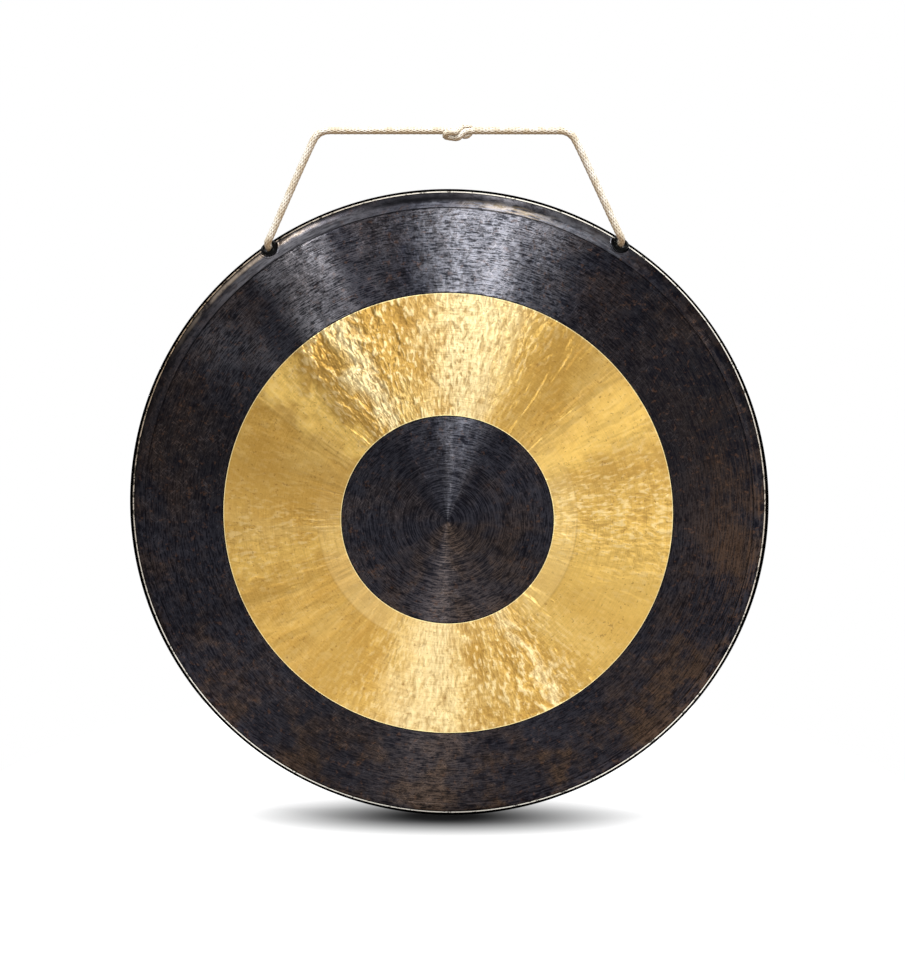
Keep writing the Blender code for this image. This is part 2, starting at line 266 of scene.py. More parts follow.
# Eyelets
HOLE_HALF_ANGLE = math.radians(32.7)
HOLE_SHOULDER_ANGLE = math.radians(48)
HOLE_RADIUS = 0.006
HOLE_OPENED = 0.0064
GROMMET_BORE_RADIUS = 0.0048
FLANGE_WIDTH = 0.0032
FLANGE_WALL = 0.0006
FLANGE_CROWN = 0.0020
SEAT_GAP = 0.0003
GROMMET_STEPS = 64
FLANGE_ARC_STEPS = 16
PRESSED_RING_RADIUS = 0.0094
PRESSED_RING_WIDTH = 0.0014
PRESSED_RING_HEIGHT = 0.0008

# How it hangs
HANG_DROP = 0.0989
GONG_ROLL = math.radians(0.78)
GONG_LEAN = math.radians(0.705)
TILT_PIVOT = (6.5, 6.0)
PEG_SPACING = 0.2308
PEG_BEND_REACH = 0.0108
RUN_CUT = 0.0130

# Cord. Its routes go from point to point, in millimetres
CORD_RADIUS = 0.0035
KNOT_STRAND_RADIUS = 0.0029
KNOT_OFFSET = 0.0125
KNOT_TIGHTENED = 0.85
KNOT_TURN = math.radians(300)
KNOT_SAG = 2.3
KNOT_NECK_SHARE = 0.06
CORD_STEP = 0.0005
CORD_SIDES = 36
PLAITS = 8
PLAIT_PITCH = 0.0060
PLAIT_HEIGHT = 0.00045
PLAIT_STEEP = 0.9
PLAIT_ROUND = 0.45
BEND_ABOVE_EYELET = 0.004
BEND_ABOVE_HOLE = 0.002
PATH_EVERY = 4
EYELET_ROUTE = (
    (3.1, 14.0, 6.0), (0.85, 9.4, 5.8), (-1.0, 5.7, 4.2), (0.0, 0.0, 0.0),
    (2.0, -2.9, -3.2), (6.6, -4.3, -5.3), (13.0, -4.6, -5.6),
)
KNOT_HALF_ROUTE = (
    (-18.5, 0.0, 0.0), (-17.0, 0.0, 0.0), (-13.2, -0.7, 0.9), (-8.4, -1.4, 1.1), (-4.1, -0.1, 3.2),
    (-1.8, 1.6, 4.5), (0.6, 3.1, 4.6), (8.7, 5.4, 1.6), (12.4, 4.5, 3.4), (13.4, 1.6, 6.0),
    (11.9, -1.9, 6.6), (6.9, -3.8, 5.7), (3.0, -3.1, 3.8),
)
KNOT_CENTRE = (0.0, -3.8, 0.0)

# Studio
FLOOR_RADIUS = 0.5
FLOOR_GAP = 0.002
FLOOR_SIDES = 96
FLOOR_ROUGHNESS = 0.9
SHADE_ACROSS = 0.258
SHADE_DEEP = 0.072
SHADE_BACK = 0.033
SHADE_FADES = (0.1, 1.05)
# The room's light by height, -1 straight down: heights from and to, light from and to
ROOM_STRONGEST = -0.20
ROOM_BAND = (0.30, 0.05, 0.50, 1.0)
ROOM_BELOW = (-0.85, -0.45, 0.3, 1.0)
# The same from left to right
ROOM_SIDES = (-1.0, 1.0, 0.74, 2.00)
WHITE = (1.0, 1.0, 1.0)
COOL = (0.92, 1.0, 1.08)
# Lights: azimuth and elevation in degrees, distance, width and height in metres, watts, tint
SOFTBOXES = (
    ("key_above", 4.5, 22.0, 2.0, 0.42, 0.50, 9.0, COOL),
    ("left_above", -52.0, 55.0, 2.0, 0.40, 0.35, 14.0, WHITE),
    ("panel_right", 29.7, 5.0, 2.0, 0.38, 0.50, 2.0, WHITE),
    ("panel_left", -26.0, 8.0, 2.0, 0.25, 0.40, 0.8, WHITE),
    ("overhead", 0.0, 89.0, 1.6, 0.90, 0.60, 14.0, WHITE),
)

# Camera, in the photograph's pixels
IMAGE_WIDTH = 905
IMAGE_HEIGHT = 968
FOCAL_PIXELS = 1868.5
CAMERA_DISTANCE = 1.744
CAMERA_ABOVE_FACE = math.radians(12.27)
CAMERA_YAW = math.radians(1.31)
FACE_CENTRE_PIXEL = (447.3, 521.4)
SENSOR_WIDTH = 36.0

SHOULDER_CENTRE_R = GONG_RADIUS - SHOULDER_RADIUS
SHOULDER_CENTRE_Z = -DOME_RADIUS + math.sqrt((DOME_RADIUS - SHOULDER_RADIUS) ** 2 - SHOULDER_CENTRE_R**2)
SHOULDER_START = math.asin(SHOULDER_CENTRE_R / (DOME_RADIUS - SHOULDER_RADIUS))
SHOULDER_END = math.pi / 2 + RIM_TAPER


# Shaders


class Value:
    """A socket that takes part in arithmetic. Each operation adds a Math node."""

    def __init__(self, surface, socket):
        self.surface = surface
        self.socket = socket

    def __add__(self, other):
        return self.surface.math("ADD", self, other)

    def __sub__(self, other):
        return self.surface.math("SUBTRACT", self, other)

    def __rsub__(self, other):
        return self.surface.math("SUBTRACT", other, self)

    def __mul__(self, other):
        return self.surface.math("MULTIPLY", self, other)

    __radd__ = __add__
    __rmul__ = __mul__


class Surface:
    """A material, or the world, and the nodes that feed its shader."""

    def __init__(self, owner, shader="Principled BSDF", **constants):
        self.owner = owner
        owner.use_nodes = True
        self.tree = owner.node_tree
        self.shader = self.tree.nodes[shader]
        for socket, value in constants.items():
            self.shader.inputs[socket.replace("_", " ")].default_value = value

    def feed(self, socket, value):
        if isinstance(value, Value):
            self.tree.links.new(value.socket, socket)
        else:
            socket.default_value = value

    def node(self, kind, settings=None, inputs=None, output=0):
        made = self.tree.nodes.new(kind)
        for key, value in (settings or {}).items():
            setattr(made, key, value)
        for key, value in (inputs or {}).items():
            self.feed(made.inputs[key], value)
        return Value(self, made.outputs[output])

    def math(self, operation, *values):
        return self.node("ShaderNodeMath", {"operation": operation}, dict(enumerate(values)))

    def vector(self, operation, *values, output=0):
        return self.node("ShaderNodeVectorMath", {"operation": operation}, dict(enumerate(values)), output)

    def place(self):
        return self.node("ShaderNodeTexCoord", output="Object")

    def parts(self, vector):
        split = self.node("ShaderNodeSeparateXYZ", inputs={0: vector})
        outputs = split.socket.node.outputs
        return [Value(self, outputs[i]) for i in range(3)]

    def joined(self, x, y, z):
        return self.node("ShaderNodeCombineXYZ", inputs={0: x, 1: y, 2: z})

    def noise(self, vector, scale=1.0, detail=2.0, roughness=0.5, distortion=0.0):
        inputs = {"Vector": vector, "Scale": scale, "Detail": detail, "Roughness": roughness}
        inputs["Distortion"] = distortion
        return self.node("ShaderNodeTexNoise", inputs=inputs)

    def between(self, value, low, high, start=0.0, end=1.0):
        """From start to end as value goes from low to high, smoothly."""
        settings = {"interpolation_type": "SMOOTHSTEP"}
        inputs = {"Value": value, "From Min": low, "From Max": high, "To Min": start, "To Max": end}
        return self.node("ShaderNodeMapRange", settings, inputs)

    def near(self, value, target, edge, core=0.0):
        """1 within core of a target, falling to 0 at edge from it."""
        return self.between(self.math("ABSOLUTE", value - target), edge, core)

    def mixed(self, shares, *values):
        """The sum of the values, each by its share."""
        total = 0.0
        for share, value in zip(shares, values):
            total = value * share + total
        return total

    def blend(self, share, first, second):
        return self.node("ShaderNodeMix", {"data_type": "RGBA"}, {0: share, 6: first, 7: second}, output=2)

    def layered(self, base, *layers):
        """The base under layers, each a (share, colour), the last on top."""
        for share, tint in layers:
            base = self.blend(share, base, tint)
        return base

    def bump(self, height):
        return self.node("ShaderNodeBump", inputs={"Height": height, "Strength": 1.0, "Distance": 1.0})

    def dress(self, base, roughness, height, **links):
        return self.finish(Base_Color=base, Roughness=roughness, Normal=self.bump(height), **links)

    def finish(self, **links):
        for socket, value in links.items():
            self.feed(self.shader.inputs[socket.replace("_", " ")], value)
        return self.owner


def metal(name, **constants):
    return Surface(bpy.data.materials.new(name), Metallic=1.0, **constants)


def plain(name, **constants):
    return Surface(bpy.data.materials.new(name), **constants)


def colour(red, green, blue):
    return (red, green, blue, 1.0)


def stronger(value, more, least):
    """least everywhere, and more on top of it where a value is 1."""
    return value * more + least


class OnDisc:
    """Where a point is on the disc: x, y, z, its distance from the axis, its clock angle in degrees."""

    def __init__(self, surface):
        self.surface = surface
        self.place = surface.place()
        self.x, self.y, self.z = surface.parts(self.place)
        self.flat = surface.joined(self.x, self.y, 0.0)
        self.radius = surface.vector("LENGTH", self.flat, output="Value")
        self.angle = surface.math("ARCTAN2", self.x, self.y) * math.degrees(1)

    def around(self, centre, width, angle=None):
        """1 at a clock angle, falling to 0 at width to each side."""
        off = self.surface.math("WRAP", (angle or self.angle) - centre, 180.0, -180.0)
        return self.surface.between(self.surface.math("ABSOLUTE", off), width, 0.0)

    def spread(self, places, angle=None):
        """What a list of (clock angle, reach, strength) adds up to."""
        total = 0.0
        for centre, width, strength in places:
            total = self.around(centre, width, angle) * strength + total
        return total

    def gathered(self, places, angle=None):
        """What a list of (clock angle, reach, strength) adds up to, 1 at most."""
        return self.surface.math("MINIMUM", self.spread(places, angle), 1.0)

    def streaks(self, across, length, width, detail=2.0, distortion=0.0):
        """Noise drawn out along the turning marks. length and width are a mark's, in metres."""
        point = self.surface.joined(self.x * (1 / length), self.y * (1 / length), across * (1 / width))
        return self.surface.noise(point, detail=detail, distortion=distortion)

    def rays(self, across, width, length, detail=2.0, distortion=0.0):
        """Noise drawn out along the radius. width and length are a mark's, in metres, half way out."""
        scale = RAY_RADIUS / width
        east, north, level = self.surface.parts(self.surface.vector("NORMALIZE", self.flat))
        point = self.surface.joined(east * scale, north * scale, across * (1 / length))
        return self.surface.noise(point, detail=detail, distortion=distortion)


# The ring's colours
RING_DEEP = colour(0.52, 0.295, 0.062)
RING_PALE = colour(0.66, 0.41, 0.105)
FAN_PAINTED_SHADE = colour(0.36, 0.19, 0.036)
FAN_PAINTED_LIGHT = colour(0.88, 0.66, 0.27)
RING_PAINTED_SHADE = colour(0.42, 0.235, 0.050)
RING_PAINTED_LIGHT = colour(0.88, 0.58, 0.155)
RING_PAINTED_HIGHLIGHT = colour(0.95, 0.77, 0.42)
RING_LINES = colour(0.46, 0.28, 0.08)
PAINTED_DENT_SHADE = colour(0.36, 0.20, 0.050)
PAINTED_DENT_GLINT = colour(0.98, 0.79, 0.42)
PIT = colour(0.24, 0.11, 0.025)
TOOLED = colour(0.92, 0.70, 0.33)
TOOL_STEP = colour(0.46, 0.27, 0.075)
BARE_EDGE = colour(0.98, 0.80, 0.40)


def polished_bronze():
    made = metal("bronze_polished", Anisotropic=RING_BRUSHED, Anisotropic_Rotation=LENGTHWISE)
    on = OnDisc(made)
    worked = on.gathered(HAMMERED)
    lines = on.streaks(on.radius, *RING_LINE, detail=3.0)
    cloud = made.noise(on.place, CLOUDS, detail=4.0)
    grain = made.noise(on.place, FINE_GRAIN, detail=3.0)
    fans = on.rays(on.radius, *RING_FAN, detail=3.0, distortion=0.4)
    dents = on.rays(on.radius, *RING_DENT, distortion=0.25)
    dints = made.noise(on.place, DINTS, detail=3.0)
    patches = made.noise(on.place, PATCHES, detail=3.0, distortion=0.5)
    pits = made.noise(on.place, PITS, detail=4.0, roughness=0.6)
    tone = made.between(made.mixed(RING_TONE_SHARES, lines, grain, cloud), *RING_TONE)
    uneven = stronger(worked, *FAN_STRENGTH)
    beaten = made.mixed(BEATEN_SHARES, dents, patches, dints)
    dent_light_painted = stronger(worked, *PAINTED_DENT_LIGHT_STRENGTH)
    lined = stronger(worked, *RING_LINE_STRENGTH)
    wander = on.angle + (patches - 0.5) * SECTOR_WANDER
    turns = on.around(*TOOLED_PARTS[0]) + on.around(*TOOLED_PARTS[1])
    step = made.near(on.radius, TOOL_STEP_RADIUS, TOOL_STEP_WIDTH)
    outer = made.near(on.radius, BAND_OUTER_RADIUS, BAND_EDGE, BARE_EDGE_CORE)
    inner = made.near(on.radius, BAND_INNER_RADIUS, BAND_EDGE, BARE_EDGE_CORE)
    base = made.layered(
        made.blend(tone, RING_DEEP, RING_PALE),
        # Radial fans: real relief in the bump, with painted light and painted shade in the colour
        (made.between(fans, *FAN_SHADE_SHOWS) * uneven, FAN_PAINTED_SHADE),
        (made.between(fans, *FAN_LIGHT_SHOWS) * uneven, FAN_PAINTED_LIGHT),
        # Painted shade, painted light and painted highlights, in sectors round the ring
        (on.gathered(PAINTED_SHADE_SECTORS, wander), RING_PAINTED_SHADE),
        (on.gathered(PAINTED_LIGHT_SECTORS, wander), RING_PAINTED_LIGHT),
        (on.gathered(PAINTED_HIGHLIGHT_SECTORS, wander), RING_PAINTED_HIGHLIGHT),
        (made.between(lines, *RING_LINES_SHOW) * lined, RING_LINES),
        # Painted shade where the dent noise is low, and painted glints where it is high
        (made.between(beaten, *PAINTED_DENT_SHADE_SHOWS) * dent_light_painted, PAINTED_DENT_SHADE),
        (made.between(beaten, *PAINTED_GLINTS_SHOW) * dent_light_painted, PAINTED_DENT_GLINT),
        (made.between(pits, *PITS_SHOW) * PIT_COVER, PIT),
        (made.between(on.radius, *TOOLED_TO) * turns * TOOLED_COVER, TOOLED),
        (step * turns * TOOL_STEP_COVER, TOOL_STEP),
        (outer + inner, BARE_EDGE),
    )
    height = dents * DENT_HEIGHT * (worked + DENT_LEAST) + patches * PATCH_HEIGHT * (worked + PATCH_LEAST)
    height = height + fans * FAN_HEIGHT + dints * DINT_HEIGHT * worked
    height = height + grain * GRAIN_HEIGHT + lines * LINE_HEIGHT
    return made.dress(base, made.between(cloud, *RING_ROUGHNESS), height)


# The dark finish's colours
SOOT_BLUE = colour(0.0055, 0.0055, 0.0085)
SOOT_BROWN = colour(0.012, 0.0085, 0.0070)
SOOT_IN_SHEEN = colour(0.030, 0.030, 0.035)
TONE_BLUE = colour(0.026, 0.026, 0.034)
TONE_BROWN = colour(0.058, 0.038, 0.028)
TONE_DARKENED = colour(0.014, 0.012, 0.012)
SHEEN_BLUE = colour(0.30, 0.29, 0.315)
SHEEN_BROWN = colour(0.34, 0.25, 0.20)
SCRATCH_BLUE = colour(0.13, 0.13, 0.155)
SCRATCH_BROWN = colour(0.24, 0.140, 0.085)
SCRATCH_IN_SHEEN = colour(0.50, 0.46, 0.47)
STREAK = colour(0.110, 0.060, 0.034)
FLECK = colour(0.15, 0.075, 0.042)
GROOVE = colour(0.004, 0.004, 0.005)
GROOVE_PALE = colour(0.014, 0.011, 0.010)


def crossing_strokes(made, on):
    """Thin strokes that fall and rise across the disc."""
    falling = made.joined((on.x + on.y) * STROKE_LENGTHWISE, (on.x - on.y) * STROKE_CROSSWISE, 0.0)
    rising = made.joined((on.x + on.y) * STROKE_CROSSWISE, (on.x - on.y) * STROKE_LENGTHWISE, 7.0)
    strokes = [made.noise(place, distortion=0.3) for place in (falling, rising)]
    return made.between(made.math("MAXIMUM", *strokes), *STROKES_SHOW)


def browned(made, on, cloud, blotch, turned, below):
    """How brown the dark finish is, where it isn't blue-black."""
    mottled = made.between(made.mixed(BROWN_SHARES, cloud, blotch), *BROWN_SHOWS)
    brown = mottled * stronger(below, *BROWN_STRENGTH) + below * BROWN_BELOW
    from_ring = made.math("ABSOLUTE", on.radius - BAND_OUTER_RADIUS)
    brown = brown * made.between(from_ring, *BROWN_BY_RING)
    return brown * (1.0 - turned * BROWN_LOST_MIDDLE) * (1.0 - on.around(*UPPER_PART) * BROWN_LOST_ABOVE)


def painted_sheen(made, on, across, turned):
    """How strongly a grey sheen is painted on the dark finish as a highlight, in fans that spread from the
    middle.
    """
    fans = on.rays(across, *DARK_FAN, detail=3.0, distortion=0.4)
    wear_and_sheen = on.spread(PAINTED_SHEEN_ABOVE) + on.spread(PAINTED_SHEEN_BESIDE) * (1.0 - turned)
    wear_and_sheen = wear_and_sheen * made.between(fans, *FANS_IN_SHEEN)
    wear_and_sheen = wear_and_sheen * made.between(across, *MIDDLE_LESS_SHEEN) + on.spread(PAINTED_SHEEN_BELOW)
    return wear_and_sheen + turned * (on.spread(PAINTED_SHEEN_MIDDLE) + MIDDLE_SHEEN_LEAST)


def patina_base(made, on, across):
    """The dark finish's colour and relief: fine turning scratches over a mottled blue-black and brown.
    across is the distance over the turning marks: along the radius, or along the rim's depth."""
    turned = made.between(across, *MIDDLE_TURNED)
    middle = made.between(across, *MIDDLE_RINGED)
    lines = on.streaks(across, *DARK_LINE, detail=4.0, distortion=0.4)
    rings = on.streaks(across, *DARK_RING)
    cloud = made.noise(on.place, CLOUDS, detail=5.0, roughness=0.6)
    blotch = made.noise(on.place, BLOTCHES, detail=5.0, roughness=0.7)
    grain = made.noise(on.place, FINEST_GRAIN, detail=3.0, roughness=0.6)
    strokes = crossing_strokes(made, on)
    flecks = made.between(made.noise(on.place, FLECKS, detail=4.0, roughness=0.7), *FLECKS_SHOW)
    below = on.around(*LOWER_PART)
    brown = browned(made, on, cloud, blotch, turned, below)
    # The grey sheen is a painted highlight on the dark finish
    wear_and_sheen = painted_sheen(made, on, across, turned)
    # Darker in some sectors; in the middle this is painted shade over a lamp's reflection
    darkened = on.spread(DARKER_SECTORS) * (1.0 - turned) + on.spread(MIDDLE_PAINTED_SHADE) * turned
    light = made.layered(
        made.blend(brown, TONE_BLUE, TONE_BROWN),
        (wear_and_sheen, made.blend(below, SHEEN_BLUE, SHEEN_BROWN)),
        (darkened, TONE_DARKENED),
    )
    dark = made.layered(made.blend(brown, SOOT_BLUE, SOOT_BROWN), (wear_and_sheen, SOOT_IN_SHEEN))
    parts = [noise * stronger(middle, added, share)
             for noise, (share, added) in zip((lines, rings, blotch, grain), DARK_SHARES)]
    lined = parts[0] + parts[1]
    tone = made.between(lined + parts[2] + parts[3], *DARK_TONE)
    # Scratches are paler inside the painted sheen
    scratch = made.layered(made.blend(brown, SCRATCH_BLUE, SCRATCH_BROWN), (wear_and_sheen, SCRATCH_IN_SHEEN))
    scratches = strokes * made.between(blotch + cloud * 0.5, *SCRATCHES_SHOW)
    scratches = scratches * stronger(wear_and_sheen, *SCRATCH_STRENGTH)
    scratches = scratches * (1.0 - on.around(*SMOOTH_PART) * SCRATCHES_LOST)
    streaked = made.between(made.mixed(STREAK_SHARES, rings, cloud, grain), *STREAKS_SHOW)
    streaked = streaked * made.between(on.radius, *STREAKS_FROM)
    streaked = streaked * stronger(on.around(*STREAKED_PART), *STREAK_STRENGTH)
    base = made.layered(
        made.blend(tone, dark, light),
        (scratches, scratch),
        (streaked * STREAK_COVER, STREAK),
        (flecks * made.between(across, *FLECKS_FROM) * FLECK_COVER, FLECK),
    )
    height = lined * DARK_LINE_HEIGHT + blotch * BLOTCH_HEIGHT
    height = height + strokes * STROKE_HEIGHT + cloud * CLOUD_HEIGHT
    return base, height, blotch


def eyelet_rings(made, place):
    """1 in a narrow ring round each eyelet, where its flange was pressed into the bronze."""
    total = 0.0
    for side in (-1, 1):
        centre = tuple(eyelet_frame(side).translation)
        away = made.vector("DISTANCE", place, centre, output="Value")
        total = made.near(away, PRESSED_RING_RADIUS, PRESSED_RING_WIDTH) + total
    return total


def patina(name):
    made = metal(name, Anisotropic=1.0, Anisotropic_Rotation=LENGTHWISE)
    on = OnDisc(made)
    base, height, blotch = patina_base(made, on, on.radius)
    marks = made.noise(on.place, MARKS, detail=3.0)
    height = height + marks * MARK_HEIGHT * (on.gathered(HAMMERED) + MARK_LEAST)
    # Painted shade in the turned line
    base = made.blend(painted_groove_shade(made, on), base, GROOVE)
    return made.dress(base, made.between(blotch, *DARK_ROUGHNESS), height)


def painted_groove_shade(made, on):
    """Shade painted in the turned line's floor, clearest at the upper left."""
    near = made.near(on.radius, LINE_RADIUS, LINE_WIDTH * 0.75, LINE_WIDTH * 0.3)
    return near * stronger(on.around(*GROOVE_PART), *GROOVE_STRENGTH)


# The shoulder's and the rim's colours
SHOULDER_GLOSS = colour(0.10, 0.10, 0.10)
SHOULDER_SHEEN = colour(0.042, 0.041, 0.048)
PAINTED_HIGHLIGHT_RIGHT = colour(0.17, 0.17, 0.185)
PAINTED_SHEEN_LEFT = colour(0.21, 0.205, 0.225)
SCUFF_GOLDEN = colour(0.50, 0.36, 0.20)
ROLL_SHADE = colour(0.006, 0.006, 0.007)
RUBBED_HIGHLIGHT = colour(0.62, 0.50, 0.39)
PAINTED_SHADE_BEYOND_LINE = colour(0.003, 0.003, 0.003)
BARE_PALE = colour(0.80, 0.75, 0.66)
BARE_DULL = colour(0.28, 0.20, 0.13)
RIM_GLOSS = colour(0.15, 0.15, 0.15)
RIM_SHADE = colour(0.004, 0.004, 0.004)


def shoulder_patina():
    """The smoother dark finish that rolls over the edge, with a thin line of bare bronze along the roll.
    """
    made = plain("bronze_patina_shoulder", Specular_Tint=SHOULDER_GLOSS,
                 Anisotropic=SHOULDER_BRUSHED, Anisotropic_Rotation=LENGTHWISE)
    on = OnDisc(made)
    across = on.radius * 0.5 + on.z * 0.5
    base, height, blotch = patina_base(made, on, across)
    roll = made.math("ARCTAN2", on.radius - SHOULDER_CENTRE_R, on.z - SHOULDER_CENTRE_Z) * math.degrees(1)
    scuffs = made.between(on.streaks(across, *SCUFF, detail=4.0), *SCUFFS_SHOW)
    lit = on.around(*SHOULDER_LIT) * made.between(blotch, *LIT_SHOWS)
    sheen_left = on.around(*SHOULDER_PAINTED_SHEEN) * made.between(roll, *ROLL_PAINTED_SHEEN)
    golden = on.around(*SHOULDER_GOLDEN) * made.between(roll, *ROLL_GOLDEN)
    shade = on.around(*SHOULDER_SHADED) * made.between(roll, *ROLL_SHADED)
    rubbed_highlight = on.around(*SHOULDER_RUBBED_HIGHLIGHT) * made.near(roll, *ROLL_RUBBED_HIGHLIGHT)
    rubbed_highlight = rubbed_highlight * made.between(blotch + made.noise(on.place, RUBBED_HIGHLIGHT_PATCHES), *RUBBED_HIGHLIGHT_SHOWS)
    line = on.spread(BARE_LINE_SHIFTS) + BARE_LINE
    dull = on.spread(BARE_LINE_DULL)
    wear_and_sheen = made.noise(on.place, WEAR, detail=4.0, roughness=0.6)
    nicks = made.noise(on.place, NICKS)
    missing = made.between(made.mixed(NICK_SHARES, wear_and_sheen, nicks, dull), *NICKS_SHOW)
    core = BARE_LINE_HALF_WIDTH - BARE_LINE_SOFTNESS
    bare = made.near(roll, line, BARE_LINE_HALF_WIDTH, core) * (1.0 - missing * NICKED_SHARE)
    base = made.layered(
        base,
        (on.around(*SHOULDER_SMOOTH) * SHEEN_COVER, SHOULDER_SHEEN),
        # Painted highlight at the upper right of the shoulder, streaked by the scuff noise
        (lit * stronger(scuffs, *HIGHLIGHT_STREAKS_RIGHT), PAINTED_HIGHLIGHT_RIGHT),
        # Painted sheen at the upper left of the shoulder, streaked by the scuff noise
        (sheen_left * stronger(scuffs, *SHEEN_STREAKS_LEFT), PAINTED_SHEEN_LEFT),
        (golden * scuffs * GOLDEN_COVER, SCUFF_GOLDEN),
        (shade * ROLL_SHADE_COVER, ROLL_SHADE),
        # Painted highlight beside the left eyelet, drawn as bare bronze showing through the patina
        (rubbed_highlight * RUBBED_HIGHLIGHT_COVER, RUBBED_HIGHLIGHT),
        # Painted shade: near black from the bare line outwards on the roll
        (made.between(roll - line, *PAINTED_SHADE_BEYOND_LINE_FROM), PAINTED_SHADE_BEYOND_LINE),
        (bare, made.blend(dull, BARE_PALE, BARE_DULL)),
        # Painted shade in the turned line
        (painted_groove_shade(made, on), GROOVE),
    )
    height = height * 0.5 + eyelet_rings(made, on.place) * PRESSED_RING_HEIGHT
    roughness = made.between(blotch, *SHOULDER_ROUGHNESS)
    return made.dress(base, roughness, height, Metallic=1.0 - bare * BARE_LINE_MATT)


def rim_patina():
    made = metal("bronze_patina_rim", Specular_Tint=RIM_GLOSS)
    on = OnDisc(made)
    base, height, blotch = patina_base(made, on, on.z)
    near_face = made.between(on.z, *RIM_SHADE_FROM)
    base = made.blend(near_face * RIM_SHADE_COVER, base, RIM_SHADE)
    return made.dress(base, RIM_ROUGHNESS, height)


def turned_edge():
    """The narrow dark step on each side of the polished ring."""
    made = metal("bronze_turned_edge", Roughness=EDGE_ROUGHNESS)
    cloud = made.noise(made.place(), EDGE_CLOUDS)
    return made.finish(Base_Color=made.blend(cloud, GROOVE, GROOVE_PALE))


# The rubber's and the cotton's colours
RUBBER = colour(0.002, 0.002, 0.002)
RUBBER_GLOSS = colour(0.4, 0.4, 0.4)
COTTON_DEEP = colour(0.70, 0.60, 0.45)
COTTON_PALE = colour(0.91, 0.86, 0.77)
COTTON_PAINTED_UNDERSIDE_SHADE = colour(0.21, 0.115, 0.038)
COTTON_SHADE_BETWEEN_PLAITS = colour(0.30, 0.19, 0.08)
COTTON_SHADE_IN_GAPS = colour(0.10, 0.045, 0.012)
COTTON_YARN = colour(0.34, 0.24, 0.13)


def black_rubber():
    made = plain("rubber_black", Base_Color=RUBBER, IOR=1.38, Specular_IOR_Level=0.2,
                 Specular_Tint=RUBBER_GLOSS)
    dust = made.noise(made.place(), DUST, detail=3.0)
    roughness = made.between(dust, *RUBBER_ROUGHNESS)
    return made.finish(Roughness=roughness, Normal=made.bump(dust * DUST_HEIGHT))


def cotton():
    """Braided cotton. The UV map counts the plaits round the cord and along it."""
    made = plain("cotton_braid", Sheen_Weight=0.15, Sheen_Roughness=0.5)
    around_cord, along, unused = made.parts(made.node("ShaderNodeUVMap", {"uv_map": "plait"}))
    right = around_cord + along
    left = around_cord - along
    gap_right = made.math("ABSOLUTE", made.math("SINE", right * math.pi))
    gap_left = made.math("ABSOLUTE", made.math("SINE", left * math.pi))
    yarn = made.noise(made.joined(right * YARNS_ACROSS, left * YARNS_ALONG, 0.0))
    cloud = made.noise(made.place(), LINT, detail=3.0)
    facing = made.parts(made.node("ShaderNodeNewGeometry", output="Normal"))[2]
    base = made.layered(
        made.blend(made.between(cloud, *LINT_SHOWS), COTTON_DEEP, COTTON_PALE),
        # Painted shade: browner where the cord faces down
        (made.between(facing, *UNDERSIDE_SHADE_FACING) * UNDERSIDE_SHADE_COVER, COTTON_PAINTED_UNDERSIDE_SHADE),
        # Painted shade in the grooves between the plaits and in the gaps where they cross
        (made.between(gap_right * gap_left, *BETWEEN_PLAITS) * BETWEEN_COVER, COTTON_SHADE_BETWEEN_PLAITS),
        (made.between(gap_right + gap_left, *PLAIT_GAP), COTTON_SHADE_IN_GAPS),
        (made.between(yarn, *YARNS_SHOW) * YARN_COVER, COTTON_YARN),
    )
    height = yarn * YARN_HEIGHT + cloud * LINT_HEIGHT
    return made.dress(base, COTTON_ROUGHNESS, height)


# Shapes


def even_steps(start, end, step):
    count = max(1, math.ceil(abs(end - start) / step))
    return [start + (end - start) * i / count for i in range(count + 1)]


def dome_height(radius, inset=0.0):
    return math.sqrt((DOME_RADIUS - inset) ** 2 - radius**2) - DOME_RADIUS


def shoulder_point(angle, inset=0.0):
    reach = SHOULDER_RADIUS - inset
    return (SHOULDER_CENTRE_R + reach * math.sin(angle), SHOULDER_CENTRE_Z + reach * math.cos(angle))


def rim_point(height, inset=0.0):
    start_r, start_z = shoulder_point(SHOULDER_END, inset)
    return (start_r - (start_z - height) * math.tan(RIM_TAPER), height)


def incised(radius):
    """How deep the turned line is at a radius."""
    return LINE_DEPTH * max(0.0, 1 - abs(radius - LINE_RADIUS) / (LINE_WIDTH / 2))


